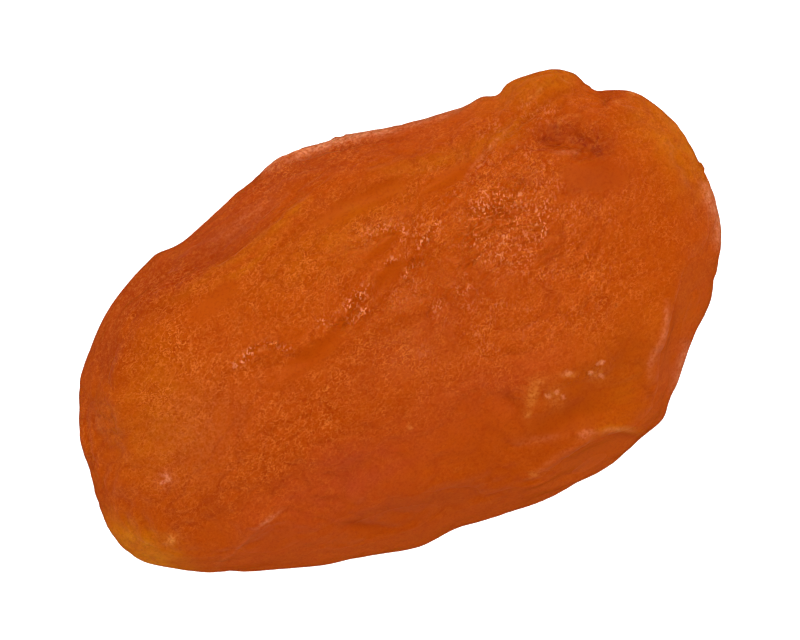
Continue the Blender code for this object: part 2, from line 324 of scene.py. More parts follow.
tight = strongest(
    (1.0, in_oval((-5.5, 1.2), (2.8, 0.9), 12.0)),
    (1.0, in_oval((1.2, 3.7), (1.6, 0.7), 15.0)),
    (1.0, in_oval((1.6, 5.6), (1.8, 0.6), 15.0)),
    (1.0, in_oval((1.5, 8.5), (4.4, 0.8), 0.0)),
    (1.0, in_oval((7.2, 7.5), (2.4, 0.7), 5.0)),
    (1.0, in_oval((15.5, 3.6), (2.6, 1.2), -25.0)),
    (0.8, in_oval((7.5, -9.2), (4.5, 1.2), 0.0)),
    (0.8, in_oval((8.2, -7.4), (2.0, 1.0), 0.0)),
    (0.9, in_oval((9.0, -12.0), (2.2, 0.7), 12.0)),
    (0.8, in_oval((-9.5, 7.0), (3.0, 1.0), 15.0)),
)
tight = smoothly(tight + TIGHT_RAGGEDNESS * cloudy(length=1.2, seed=3.0), *TIGHT_EDGE) * on_top

# Sharp ridges, and creases where the height is negative: height, half width and path
CREASES = (
    (0.15, 0.9, ((-10.5, 1.9), (-8.3, 2.4), (-6.0, 1.5), (-4.2, 1.8), (-2.2, 2.2), (-0.7, 3.2),
                 (0.9, 4.0), (2.9, 4.0), (4.8, 4.7))),
    (0.28, 0.7, ((-9.6, 1.4), (-7.9, 1.0), (-5.2, 0.6), (-2.2, 1.3), (0.5, 2.4), (2.4, 3.2))),
    (0.12, 0.7, ((9.3, 1.5), (6.0, 0.9), (3.3, 0.9), (0.5, 1.0), (-3.3, 0.9), (-5.8, 1.1))),
    (-0.1, 0.2, ((-11.5, 9.1), (-10.5, 9.3), (-7.0, 9.3), (-5.0, 9.7), (-2.5, 10.2),
                 (0.5, 10.9))),
    (-0.2, 0.18, ((-3.0, 12.95), (0.0, 12.65), (2.0, 12.25), (4.0, 11.75), (5.0, 11.25),
                   (6.5, 10.7))),
    (-0.08, 0.16, ((13.0, 7.3), (13.7, 7.05), (14.6, 6.85))),
    (-0.08, 0.18, ((15.0, 6.7), (15.6, 6.3), (16.2, 5.6), (16.7, 4.9))),
    (-0.12, 0.25, ((18.0, 9.4), (18.3, 8.6), (18.2, 7.6), (17.6, 6.8))),
    (0.1, 0.14, ((12.2, 6.8), (13.0, 6.5), (14.0, 6.15))),
    (0.08, 0.14, ((13.6, 5.9), (14.4, 5.7), (15.3, 5.35))),
    (-0.14, 0.2, ((17.9, 9.3), (16.9, 9.05), (16.0, 9.25), (15.2, 9.2), (14.4, 9.05),
                  (13.3, 8.75), (12.2, 8.4), (11.0, 8.0))),
    (0.1, 0.2, ((16.6, 8.7), (15.6, 8.85), (14.6, 8.75), (13.5, 8.45), (12.2, 8.05), (11.0, 7.7),
                (9.6, 7.2), (8.4, 6.8), (7.2, 6.1))),
    (-0.12, 0.2, ((19.2, 8.6), (18.7, 8.1), (18.2, 7.6), (17.7, 7.3))),
    (0.08, 0.2, ((16.1, -5.2), (15.6, -6.1), (15.0, -6.9), (14.3, -7.6), (13.6, -8.1),
                 (12.9, -9.3))),
    (-0.05, 0.25, ((16.5, -5.6), (16.0, -6.5), (15.3, -7.4), (14.5, -8.2))),
    (0.1, 0.2, ((8.3, -10.8), (7.3, -11.0), (6.2, -11.15), (4.9, -11.3), (3.8, -11.5))),
    (-0.08, 0.25, ((8.6, -11.1), (9.3, -11.4), (10.0, -11.8), (11.1, -12.6))),
    (0.06, 0.3, ((6.9, -10.3), (8.0, -10.5), (9.2, -10.8), (10.2, -11.2), (11.5, -11.9))),
    (-0.12, 0.14, ((12.2, -9.0), (12.5, -10.0), (12.6, -11.2))),
    (-0.06, 0.3, ((4.5, -5.8), (4.6, -7.0), (5.1, -8.2))),
    (0.12, 0.16, ((-16.4, -7.85), (-15.4, -7.55), (-14.6, -7.3), (-13.8, -7.05))),
    (0.07, 0.16, ((-15.0, -6.65), (-14.4, -6.5), (-13.4, -6.55), (-12.1, -6.7))),
    (0.12, 0.5, ((-16.4, -7.4), (-15.4, -7.2), (-14.2, -6.95), (-13.0, -6.9), (-12.0, -7.2))),
    (-0.1, 0.25, ((-8.4, -9.0), (-7.6, -9.5), (-6.6, -10.1), (-5.4, -10.6))),
    (-0.08, 0.2, ((-9.6, -6.5), (-8.8, -7.0), (-7.9, -7.5), (-7.0, -7.6))),
    (0.08, 0.25, ((-10.4, -6.8), (-9.8, -7.4), (-9.0, -7.9))),
    (0.08, 0.3, ((-9.8, -8.9), (-8.8, -9.2), (-7.8, -9.9))),
    (0.06, 0.3, ((-7.2, -8.0), (-6.4, -8.0), (-5.8, -8.6), (-5.6, -9.4))),
    (0.1, 0.14, ((2.9, 4.3), (3.7, 4.55), (5.0, 5.0), (6.2, 5.7))),
    (0.1, 0.4, ((1.8, 3.3), (3.4, 3.9), (4.8, 4.5), (6.4, 5.3))),
)

# Where the skin stands out or is drawn in a little: height, middle, half lengths and turn
SWELLS = (
    (-0.28, (-20.4, 4.0), (1.8, 3.4), -12.0),
    (-0.05, (-17.8, 8.0), (1.3, 1.3), 0.0),
    (0.1, (-11.6, 11.4), (0.6, 0.7), 0.0),
    (-0.14, (-10.2, 11.6), (1.4, 0.9), 20.0),
    (-0.16, (-3.7, 13.1), (1.0, 0.8), 10.0),
    (-0.12, (0.4, 13.3), (2.0, 0.7), 0.0),
    (-0.05, (9.5, 11.3), (0.8, 0.7), 0.0),
    (0.24, (11.3, 11.1), (0.7, 0.8), 0.0),
    (-0.25, (12.3, 11.1), (0.5, 0.8), 0.0),
    (-0.16, (14.8, 11.5), (1.5, 0.8), 0.0),
    (0.06, (17.4, 9.9), (0.6, 0.5), -40.0),
    (-0.24, (18.3, 9.0), (0.5, 0.6), -40.0),
    (0.14, (20.4, 6.0), (1.4, 2.0), 20.0),
    (-0.05, (21.9, 0.7), (0.8, 1.6), 0.0),
    (0.1, (21.8, 3.9), (0.8, 1.2), 0.0),
    (-0.2, (17.2, -8.0), (1.3, 1.3), 0.0),
    (-0.16, (13.7, -11.3), (0.8, 0.9), 0.0),
    (0.06, (10.4, -12.9), (1.6, 0.8), 20.0),
    (-0.12, (6.0, -13.6), (1.8, 0.9), 10.0),
    (0.12, (0.0, -13.2), (6.0, 1.2), -5.0),
    (-0.05, (-12.8, -10.2), (2.6, 0.9), -10.0),
    (0.14, (-17.2, -8.2), (1.6, 0.9), -28.0),
    (0.06, (-20.8, -5.2), (1.2, 1.4), -30.0),
)

# Wrinkles, finer crinkles and broader folds: the way they run, in degrees, their length, height
# and stretch, and where they fade
TOP_RUN = 19.0
SLOPE_RUN = -10.0
SLOPE_EDGE = (-4.0, -7.5)
WRINKLE_LENGTH = 1.3
WRINKLE_HEIGHT = 0.38
WRINKLE_STRETCH = 2.2
CRINKLE_LENGTH = 0.55
CRINKLE_HEIGHT = 0.2
CRINKLE_STRETCH = 1.5
RUN_WANDER = 1.6
WANDER_LENGTH = 5.0
WANDER_SEED = 4
FOLD_LENGTH = 3.2
FOLD_HEIGHT = 0.42
FOLD_STRETCH = 2.6
VALLEY_EDGE = (0.12, 0.0)
STEEP_EDGE = (0.1, 0.5)
LOOSE_SHARE = 0.75
LOOSE_VARIATION = 0.5
LOOSER_UNDERNEATH = 0.7
FOLDS_ON_TOP = 0.2
DOWN_EDGE = (-0.6, -0.25)

relief = np.zeros(len(places))
creased = np.zeros(len(places))
for height, half_width, points in CREASES:
    near_crease = along_path(half_width, *points) * on_top
    relief += height * near_crease
    if height < 0:
        creased = np.maximum(creased, near_crease)

for height, centre, half_lengths, turn_degrees in SWELLS:
    relief += height * in_oval(centre, half_lengths, turn_degrees)

noise.seed_set(WANDER_SEED)
wandering = np.array([
    Vector(place) + noise.noise_vector(Vector(place) / WANDER_LENGTH) * RUN_WANDER
    for place in places
])


def folded(length, stretch, run_degrees):
    """Folds drawn out along a direction: nothing in their sharp valleys, about one on them."""
    run = math.radians(run_degrees)
    frame_of_run = np.array((
        (math.cos(run) / stretch, math.sin(run) / stretch, 0.0),
        (-math.sin(run), math.cos(run), 0.0),
        (0.0, 0.0, 1.0),
    ))
    drawn = wandering @ frame_of_run.T / length
    return np.array([abs(noise.noise(Vector(place))) for place in drawn])


on_slope = smoothly(places[:, 1], *SLOPE_EDGE)
wrinkles = (
    (1 - on_slope) * folded(WRINKLE_LENGTH, WRINKLE_STRETCH, TOP_RUN)
    + on_slope * folded(WRINKLE_LENGTH, WRINKLE_STRETCH, SLOPE_RUN)
)
folds = folded(FOLD_LENGTH, FOLD_STRETCH, SLOPE_RUN)
crinkles = folded(CRINKLE_LENGTH, CRINKLE_STRETCH, TOP_RUN)
glinting = np.max([
    in_oval((9.0, 3.2), (3.6, 2.8), 10.0),
    in_oval((4.6, 4.2), (3.0, 1.8), 20.0),
    in_oval((-1.6, 3.0), (2.6, 1.6), 20.0),
    along_path(1.0, (-10.4, 2.6), (-9.2, 3.0), (-8.2, 3.2), (-7.2, 2.9), (-6.0, 2.0)),
], axis=0)
facing_down = 1 - smoothly(normals[:, 2], *DOWN_EDGE)
looseness = weakened(
    LOOSE_SHARE + LOOSE_VARIATION * cloudy(length=7.0, seed=5.0),
    (0.85, tight),
    (0.4, on_slope),
    (0.3, glinting),
    (0.5, in_oval((-14.0, 4.6), (4.0, 4.6), 0.0)),
    (0.4, in_oval((16.0, -0.5), (4.0, 5.0), 0.0)),
    (0.65, 1 - smoothly(np.abs(normals[:, 2]), *STEEP_EDGE)),
)
looseness *= 1 + LOOSER_UNDERNEATH * facing_down
folding = FOLDS_ON_TOP + (1 - FOLDS_ON_TOP) * np.maximum(on_slope, facing_down)
relief += looseness * (WRINKLE_HEIGHT * wrinkles - CRINKLE_HEIGHT * crinkles)
relief += FOLD_HEIGHT * folds * folding
valleys = smoothly(wrinkles, *VALLEY_EDGE) * looseness
fine_valleys = smoothly(crinkles, *VALLEY_EDGE) * looseness

# Underneath, pleats run out from the flat spot where the fruit's weight gathers its skin
SPOT_MIDDLE = (0.0, -0.6)
SPOT_SHARE = 0.6
SPOT_CORE = 0.0005
PLEATS = 4.2
PLEAT_LENGTH = 30.0
PLEAT_EDGE = (0.13, 0.0)
PLEAT_START = (4.0, 8.0)
PLEAT_GAPS = (-0.25, 0.25)
PLEAT_DEPTH = 0.24

out_of_spot = (wandering[:, :2] - np.array(SPOT_MIDDLE)) * np.array((SPOT_SHARE, 1.0))
from_spot = np.hypot(*out_of_spot.T)
pleat_noise = np.array([
    abs(noise.noise(Vector((*(way / out * PLEATS), out / PLEAT_LENGTH))))
    for way, out in zip(out_of_spot, np.maximum(from_spot, SPOT_CORE))
])
pleated = smoothly(pleat_noise, *PLEAT_EDGE) * smoothly(from_spot, *PLEAT_START) * facing_down
pleated *= smoothly(cloudy(length=3.0, seed=37.0), *PLEAT_GAPS)
relief -= PLEAT_DEPTH * pleated

moved = places + normals * relief[:, None]
moved[:, 2] = np.maximum(moved[:, 2], 0.0)
fruit_mesh.vertices.foreach_set("co", (moved * MM).ravel())
fruit_mesh.update()


# Fruit: where its colour and gloss change
# Thin flesh lets light through and looks amber. The skin is redder in listed patches, most over the
# lower slope, along the upper band and underneath, and the stem scar is dark. Pale patches lie
# where the skin is rubbed near the tip, and pale colours also paint sheen, highlights and glints on
# the edges, ridges and crinkles. Sugary syrup makes some of the skin wet.
PRESSED_EDGE = (0.02, 0.5)
MARK_EDGE = (0.35, 0.6)
MARK_RAGGEDNESS = 0.35
SLOPING_EDGE = (0.6, 0.97)
BLUSH_UNDERNEATH = 0.2
AMBER_UNDERNEATH = 0.5
AMBER_CLOUDS = (0.0, 0.5)
DEEP_UNDERNEATH = 0.4
DEEP_CLOUDS = (0.1, 0.5)
DEEP_WHERE_PRESSED = 0.5
GRAIN_EVERYWHERE = 0.3
GRAIN_UNDERNEATH = 0.4
GRAIN_VARIATION = 0.3

ragged = cloudy(length=0.7, seed=11.0)
finely_ragged = cloudy(length=0.3, seed=23.0)
broad_clouds = cloudy(length=5.0, seed=31.0)
pressed = 1 - smoothly(places[:, 2], *PRESSED_EDGE)


def ragged_marks(*fields):
    """Small marks with ragged edges, each given with its strength."""
    return smoothly(strongest(*fields) + MARK_RAGGEDNESS * finely_ragged, *MARK_EDGE)


def broken_up(field, breaking):
    """A colour's field made stronger and weaker by some noise, on the upper side alone."""
    return np.clip(field * (1 + breaking), 0, 1) * on_top


amber = strongest(
    (0.5, along_path(0.35, (-13.5, 8.6), (-11.5, 8.3), (-9.8, 8.5), (-8.3, 8.9), (-7.0, 8.8),
                     (-5.5, 9.3), (-4.0, 9.5), (-2.5, 9.9), (-1.0, 10.2))),
    (0.35, along_path(0.3, (-10.0, 7.8), (-8.5, 8.1), (-7.0, 7.9), (-5.0, 8.6), (-3.0, 9.2))),
    (0.4, along_path(0.55, (2.5, 10.0), (5.0, 9.3), (7.5, 8.7), (12.0, 8.5), (14.0, 9.5))),
    (0.5, along_path(0.3, (8.2, -10.7), (9.3, -10.95), (10.0, -11.3), (11.2, -12.2))),
    (0.45, along_path(2.0, (21.5, -1.0), (21.4, 2.0), (20.8, 5.0), (19.5, 7.4))),
    (0.22, in_oval((-15.0, 4.0), (2.4, 4.6), -8.0)),
    (0.95, in_oval((-20.6, -5.0), (1.3, 3.2), 35.0)),
    (0.55, in_oval((14.9, 10.6), (3.2, 1.3), -8.0)),
    (0.25, in_oval((5.8, -7.1), (1.2, 0.4), 50.0)),
    (0.3, in_oval((11.0, -8.0), (5.0, 2.6), 15.0)),
    (0.4, in_oval((-10.3, 10.8), (0.5, 0.3), 0.0)),
    (0.2, in_oval((-1.0, 7.4), (6.0, 1.6), 8.0)),
    (0.25, in_oval((-16.0, 1.6), (3.4, 4.0), 0.0)),
)
amber = broken_up(amber, 0.6 * ragged)
amber += AMBER_UNDERNEATH * smoothly(broad_clouds, *AMBER_CLOUDS) * underneath * (1 - pressed)

blush = strongest(
    (0.75, in_oval((-7.0, -6.6), (7.0, 2.6), 4.0)),
    (0.35, in_oval((-8.0, 11.0), (7.0, 1.6), 18.0)),
    (0.25, in_oval((4.0, 11.4), (6.0, 1.2), -6.0)),
    (0.4, in_oval((2.0, -5.5), (9.0, 2.4), 0.0)),
    (0.4, in_oval((14.6, -9.0), (1.6, 2.4), -40.0)),
    (0.1, in_oval((14.8, 3.8), (2.6, 1.4), -25.0)),
    (0.25, in_oval((1.0, -1.0), (7.0, 2.2), 14.0)),
    (0.1, in_oval((-12.0, -1.6), (5.0, 3.6), 20.0)),
)
blush = broken_up(blush, 0.5 * ragged + 0.9 * folds - 0.3) + BLUSH_UNDERNEATH * underneath

scar = strongest(
    (0.6, ragged_marks(
        (0.8, along_path(0.25, (13.1, 7.35), (13.7, 7.1), (14.2, 6.85), (14.8, 6.75))),
        (0.9, along_path(0.3, (14.9, 6.65), (15.5, 6.05), (16.1, 5.45))),
        (1.0, in_oval((16.25, 4.95), (0.5, 0.42), -30.0)),
        (0.6, in_oval((16.6, 5.6), (0.5, 0.3), -30.0)),
        (0.8, in_oval((14.6, 7.4), (0.5, 0.3), 30.0)),
    )),
    (0.5, in_oval((14.6, 7.0), (1.9, 0.9), -15.0)),
    (0.45, in_oval((16.3, 5.6), (1.3, 1.0), -35.0)),
)
scar = broken_up(scar, 0.3 * ragged + 0.6 * finely_ragged)

deep = strongest(
    (0.9, along_path(1.5, (-4.0, 11.2), (-7.0, 10.2), (-10.0, 9.7), (-14.0, 9.2), (-16.4, 7.6))),
    (0.8, in_oval((-16.6, 7.2), (1.6, 2.4), -40.0)),
    (0.5, along_path(1.3, (-5.0, 11.8), (-2.0, 12.2), (2.0, 11.8), (6.0, 10.6))),
    (0.4, in_oval((0.2, -1.0), (3.6, 1.8), 10.0)),
    (0.6, in_oval((15.3, 3.4), (2.4, 1.2), -25.0)),
    (0.4, in_oval((-2.0, -10.4), (6.0, 1.4), -4.0)),
    (0.3, in_oval((2.0, 3.0), (1.5, 1.0), 0.0)),
    (0.35, in_oval((-3.0, -0.8), (5.0, 1.6), 10.0)),
    (0.2, in_oval((10.0, 1.0), (6.0, 2.6), 0.0)),
    (0.35, along_path(0.8, (-5.0, 8.8), (0.0, 9.2), (5.0, 9.4), (9.0, 8.9), (13.0, 9.4))),
    (0.3, in_oval((0.4, 2.4), (4.0, 1.8), 20.0)),
    (0.6, along_path(1.7, (3.5, -11.0), (7.0, -9.2), (11.0, -7.6), (14.5, -7.0))),
    (0.2, in_oval((2.0, -2.6), (8.0, 3.0), 8.0)),
    (0.3, in_oval((19.0, 6.6), (1.2, 1.4), 0.0)),
    (0.35, in_oval((14.4, 10.6), (2.0, 0.9), 0.0)),
)
deep = broken_up(deep, 0.5 * ragged)
deep += DEEP_WHERE_PRESSED * pressed * underneath
deep += DEEP_UNDERNEATH * smoothly(-broad_clouds, *DEEP_CLOUDS) * underneath

# Painted sheen and highlights in a pale colour: along the rim strip and the upper edge, the pale
# creases and ridges, the right edges and the bumps of the blotch. The patches near the tip are
# pale, rubbed skin.
bloom_and_sheen = strongest(
    (1.0, along_path(0.35, (-3.4, 13.15), (-0.5, 13.2), (1.8, 12.9), (4.0, 12.4), (6.0, 11.7))),
    (0.5, along_path(0.3, (5.6, 11.8), (8.0, 11.5), (10.4, 11.3), (12.4, 11.2))),
    (0.38, along_path(0.15, (16.1, -5.2), (15.6, -6.1), (15.0, -6.9), (14.3, -7.6), (13.6, -8.1),
                      (12.9, -9.3))),
    (0.14, along_path(0.12, (8.0, -10.8), (6.4, -11.0), (5.4, -11.15), (4.6, -11.3),
                      (4.1, -11.6))),
    (0.12, along_path(0.25, (7.0, -10.3), (5.0, -9.6), (3.4, -9.1))),
    (0.1, along_path(0.14, (-16.9, -7.95), (-15.8, -7.7), (-14.6, -7.3), (-13.4, -6.8))),
    (0.55, ragged_marks(
        (1.0, in_oval((8.4, -6.7), (0.4, 0.17), -20.0)),
        (0.8, in_oval((10.55, -7.0), (0.5, 0.15), -5.0)),
        (0.9, in_oval((9.75, -7.3), (0.22, 0.16), 0.0)),
        (0.8, in_oval((10.3, -7.8), (0.16, 0.3), 20.0)),
        (0.7, in_oval((7.3, -7.5), (0.22, 0.22), 0.0)),
        (0.7, in_oval((7.5, -7.9), (0.27, 0.22), 0.0)),
        (0.7, in_oval((6.7, -7.4), (0.22, 0.22), 0.0)),
        (0.55, in_oval((-17.05, -1.7), (0.6, 0.45), 0.0)),
        (0.5, in_oval((-16.5, -1.9), (0.35, 0.3), 0.0)),
    )),
    (0.2, along_path(0.14, (7.3, -10.4), (8.4, -10.8), (9.3, -11.0), (10.0, -11.35),
                     (10.8, -11.9))),
    (0.6, in_oval((7.8, -10.6), (0.4, 0.2), 0.0)),
    (0.7, along_path(0.4, (21.6, 0.4), (21.5, -0.6), (21.3, -2.4), (20.4, -4.0))),
    (0.5, along_path(0.35, (16.3, -8.2), (15.2, -9.6), (14.0, -11.0))),
    (0.25, in_oval((-17.0, -1.7), (0.7, 0.55), 0.0)),
    (0.5, in_oval((-12.3, -6.7), (0.7, 0.12), 5.0)),
    (0.25, along_path(0.14, (13.6, 5.9), (14.4, 5.7), (15.3, 5.35))),
    (0.2, along_path(0.14, (12.6, 9.0), (11.6, 8.55), (10.2, 8.05), (8.8, 7.5), (7.4, 6.5))),
    (0.15, in_oval((-5.8, 10.7), (2.6, 0.6), 12.0)),
    (0.08, in_oval((-14.0, 0.2), (4.0, 3.0), 30.0)),
)
bloom_and_sheen = broken_up(bloom_and_sheen, 1.2 * finely_ragged)

fleck = strongest(
    (0.9, ragged_marks((1.2, in_oval((-18.4, -5.2), (0.36, 0.26), 0.0)))),
    (0.4, in_oval((-18.6, -5.3), (0.6, 0.4), 0.0)),
    (0.4, in_oval((6.6, -6.4), (0.5, 0.2), 0.0)),
    (0.45, in_oval((5.8, -7.0), (1.0, 0.35), 50.0)),
    (0.35, in_oval((5.05, -7.9), (0.25, 0.25), 30.0)),
    (0.3, in_oval((7.1, -7.6), (0.6, 0.7), -30.0)),
    (0.35, in_oval((8.4, -6.8), (0.7, 0.2), -25.0)),
    (0.25, in_oval((10.0, -7.5), (0.6, 0.5), -20.0)),
    (0.9, in_oval((13.05, -4.2), (0.12, 0.12), 0.0)),
    (0.5, in_oval((3.8, -11.5), (0.3, 0.2), 0.0)),
    (0.7, in_oval((14.65, 9.95), (0.35, 0.12), 25.0)),
    (0.6, in_oval((14.05, 9.9), (0.25, 0.14), 50.0)),
    (0.7, in_oval((15.95, 7.6), (0.35, 0.08), -26.0)),
    (0.5, in_oval((14.85, 7.55), (0.2, 0.14), 40.0)),
    (0.6, in_oval((18.75, 7.15), (0.2, 0.12), 0.0)),
    (0.5, in_oval((19.85, 7.2), (0.3, 0.14), -30.0)),
    (0.6, in_oval((-1.9, -5.4), (0.16, 0.14), 0.0)),
)
fleck = broken_up(fleck, 1.2 * finely_ragged)

wet = strongest(
    (1.0, in_oval((9.0, 4.4), (3.2, 1.5), 10.0)),
    (1.0, along_path(0.8, (9.4, 4.6), (9.4, 3.6), (9.7, 2.4))),
    (0.9, along_path(0.7, (11.2, 4.2), (11.1, 2.9), (10.7, 1.6), (10.6, 0.5))),
    (1.0, along_path(0.9, (5.8, 4.4), (6.5, 3.5), (7.3, 2.7))),
    (1.0, in_oval((6.3, 2.3), (0.9, 0.6), 0.0)),
    (0.8, along_path(0.6, (7.4, 2.4), (7.7, 1.5), (8.0, 0.6))),
    (0.7, in_oval((5.4, 2.3), (0.5, 0.7), 0.0)),
    (1.0, along_path(0.4, (2.9, 4.2), (4.1, 4.7), (5.4, 5.3))),
    (0.9, in_oval((6.7, 6.3), (1.0, 0.6), 10.0)),
    (1.0, along_path(0.5, (-2.3, 2.6), (-1.4, 3.3), (-0.4, 4.0))),
    (1.0, along_path(0.5, (-4.0, 2.5), (-2.7, 2.3), (-1.6, 2.2), (-0.7, 2.3))),
    (0.8, along_path(0.35, (0.6, 4.4), (1.4, 4.4), (2.3, 4.4))),
    (0.9, along_path(0.6, (1.5, 2.8), (2.3, 3.2), (3.1, 3.6), (4.1, 2.8))),
    (0.6, along_path(1.1, (4.7, 1.6), (5.8, 0.4), (6.7, -1.1))),
    (0.7, along_path(0.6, (1.1, 1.2), (1.9, 0.6), (3.2, 0.5), (4.1, 0.7))),
    (1.0, along_path(0.4, (-10.4, 2.6), (-9.2, 3.0), (-8.2, 3.2), (-7.2, 2.9), (-6.0, 2.0))),
    (0.7, in_oval((1.5, 6.4), (3.4, 1.2), 0.0)),
    (0.5, in_oval((12.0, 8.3), (4.0, 1.6), 10.0)),
    (0.45, in_oval((4.0, 2.0), (12.0, 6.0), 12.0)),
    (0.4, along_path(0.6, (21.5, -0.6), (21.3, -2.4), (20.4, -4.0))),
    (0.4, along_path(0.6, (-3.4, 13.1), (1.8, 12.8), (6.0, 11.6))),
    (0.8, in_oval((9.4, -7.1), (1.8, 0.5), 0.0)),
    (0.7, in_oval((6.6, -7.4), (0.7, 0.5), 0.0)),
    (0.9, in_oval((13.05, -4.2), (0.2, 0.2), 0.0)),
)
wet = broken_up(wet, 0.8 * cloudy(length=0.6, seed=17.0))
steep = 1 - smoothly(np.abs(normals[:, 2]), *SLOPING_EDGE)
glossy = strongest((1.0, wet), (0.2, tight), (0.8, steep), (0.7, creased))

# Painted glints: fine pale strokes laid into the colour where the wet skin glints
painted_glints = strongest(
    (1.0, in_oval((8.9, 4.7), (2.4, 0.9), -14.0)),
    (1.0, in_oval((9.45, 3.3), (0.6, 0.55), 0.0)),
    (0.9, in_oval((11.3, 2.6), (1.3, 0.55), 64.0)),
    (1.0, in_oval((6.2, 3.5), (0.9, 0.5), -10.0)),
    (1.0, in_oval((6.2, 2.35), (0.5, 0.3), -20.0)),
    (0.9, in_oval((7.85, 1.6), (0.6, 0.35), -60.0)),
    (0.8, in_oval((6.7, 6.1), (0.7, 0.35), 25.0)),
    (0.6, in_oval((2.8, 5.9), (2.3, 0.7), -12.0)),
    (0.8, in_oval((3.4, 6.1), (0.6, 0.4), 0.0)),
    (0.9, along_path(0.2, (2.9, 4.1), (4.1, 4.7), (5.0, 5.1), (5.8, 5.9))),
    (0.9, in_oval((2.3, 3.3), (0.55, 0.4), 0.0)),
    (0.9, in_oval((3.9, 3.1), (0.7, 0.35), -20.0)),
    (0.7, along_path(0.18, (0.5, 4.4), (1.6, 4.5), (2.9, 4.2))),
    (1.0, in_oval((-3.5, 2.7), (0.6, 0.4), 0.0)),
    (1.0, along_path(0.3, (-2.4, 2.8), (-1.4, 3.3), (-0.2, 3.8))),
    (0.9, along_path(0.3, (-2.8, 2.3), (-1.6, 2.3), (-0.9, 2.5))),
    (0.8, in_oval((3.1, 0.5), (0.8, 0.3), -10.0)),
    (0.7, in_oval((5.3, 0.6), (1.2, 0.5), -10.0)),
    (1.0, along_path(0.28, (-10.3, 2.7), (-9.2, 3.0), (-8.2, 3.3), (-7.3, 3.0), (-6.1, 1.9))),
    (0.35, in_oval((12.0, 8.2), (3.6, 1.2), 10.0)),
    (0.3, in_oval((8.0, 2.0), (7.0, 4.6), 12.0)),
)
painted_glints = broken_up(painted_glints, 1.2 * ragged - 0.1) * (1 - tight)

grainy = strongest(
    (1.0, in_oval((-1.0, 6.6), (7.0, 2.2), 8.0)),
    (1.0, in_oval((8.0, 4.6), (6.0, 3.6), 10.0)),
    (0.8, in_oval((-12.0, 4.6), (5.0, 4.0), 0.0)),
    (0.7, in_oval((-4.0, -1.5), (10.0, 3.4), 14.0)),
    (0.7, in_oval((9.0, -1.0), (8.0, 4.0), 10.0)),
    (0.6, in_oval((0.0, 12.6), (7.0, 1.0), -4.0)),
)
grainy = np.where(on_top > 0, grainy, GRAIN_UNDERNEATH + GRAIN_VARIATION * broad_clouds)
grainy = weakened(
    GRAIN_EVERYWHERE + (1 - GRAIN_EVERYWHERE) * grainy,
    (1.0, tight),
    (0.7, wet),
    (0.6, on_slope * on_top),
)

# Painted shade: the colour darkens in the creases, the valleys of the wrinkles and crinkles, and
# the pleats underneath
crease_shade = strongest((0.4, creased), (0.5, valleys), (0.3, fine_valleys), (0.3, pleated))

# The fields are painted on the mesh, for the material to read
painted_fields = {
    "amber": amber,
    "blush": blush,
    "deep": deep,
    "crease_shade": crease_shade,
    "scar": scar,
    "bloom_and_sheen": bloom_and_sheen,
    "fleck": fleck,
    "wet": wet,
    "glossy": glossy,
    "painted_glints": painted_glints,
    "grainy": grainy,
}
for name, values in painted_fields.items():
    attribute = fruit_mesh.attributes.new(name, "FLOAT", "POINT")
    attribute.data.foreach_set("value", values.astype(np.float32))


# Fruit: the flesh and its skin
# Dried apricot flesh under its skin: moist, dense and a little see-through, so that light spreads
# in it and its edges glow. The skin is satin, with a fine grain that breaks up its sheen.
FLESH = "#BC4E04"
FLESH_DEEP = "#B04202"
FLESH_AMBER = "#CC7404"
FLESH_DARK = "#A23A06"
SKIN_BLUSH = "#B2421E"
SCAR_RED = "#84220F"
CREASE_SHADE_DARK = "#962E06"
FLECK_YELLOW = "#DC8438"
SHADE_DARK = "#982C00"
BLOOM_AND_SHEEN_PALE = "#E28A5E"
GRAIN_HIGHLIGHT = "#E67C30"
SHEEN_TINT = "#FFA05A"
GLINT_PALE = "#FF9E6C"
NOISE_MIDDLE = 0.5
LINE_STRETCH = 1.7
LINE_WIDTH = 0.032
LINE_CORE = 0.3
LINE_SHADE = 0.05
LINE_STRENGTH = 0.85
LINE_HEIGHT = 0.06
GRAIN_HEIGHT = 0.06
GLINT_STRETCH = 1.6
GLINT_RUN = 64.0
FLESH_IOR = 1.45
SHEEN_STRENGTH = 0.25
SEE_THROUGH_SHARE = 0.25
SEE_THROUGH_DEPTH = 0.6
SEE_THROUGH_BY_COLOUR = (1.0, 0.3, 0.08)
EVERYWHERE = 1.0

flesh = bpy.data.materials.new("dried_apricot_flesh")
flesh.use_nodes = True
tree = flesh.node_tree
shader = tree.nodes["Principled BSDF"]
painted = {
    name: add_node(tree, "ShaderNodeAttribute", {"attribute_name": name}).outputs["Fac"]
    for name in painted_fields
}

# Coordinates on the fruit, and two sets drawn out along the run of its crinkles and of its painted
# glints
on_fruit = add_node(tree, "ShaderNodeTexCoord").outputs["Object"]
along_crinkles, along_glints = [
    add_node(tree, "ShaderNodeMapping", {"vector_type": "TEXTURE"}, {
        "Vector": on_fruit,
        "Rotation": (0.0, 0.0, math.radians(run_degrees)),
        "Scale": (stretch, 1.0, 1.0),
    }).outputs["Vector"]
    for run_degrees, stretch in ((TOP_RUN, LINE_STRETCH), (GLINT_RUN, GLINT_STRETCH))
]

# Noises: coordinates, size of the clouds in millimetres, detail, roughness and distortion
NOISES = {
    "mottling": (on_fruit, 4.0, 4.0, 0.6, 0.0),
    "patches": (on_fruit, 2.2, 2.0, 0.6, 0.0),
    "grain": (on_fruit, 0.17, 2.0, 0.6, 0.0),
    "crinkles": (along_crinkles, 0.36, 2.5, 0.65, 0.3),
    "strokes": (along_glints, 0.17, 1.5, 0.6, 0.5),
}
noises = {}
for name, (noise_coords, length, detail, roughness, distortion) in NOISES.items():
    noises[name] = add_node(tree, "ShaderNodeTexNoise", {}, {
        "Vector": noise_coords,
        "Scale": 1 / (length * MM),
        "Detail": detail,
        "Roughness": roughness,
        "Distortion": distortion,
    }).outputs["Fac"]
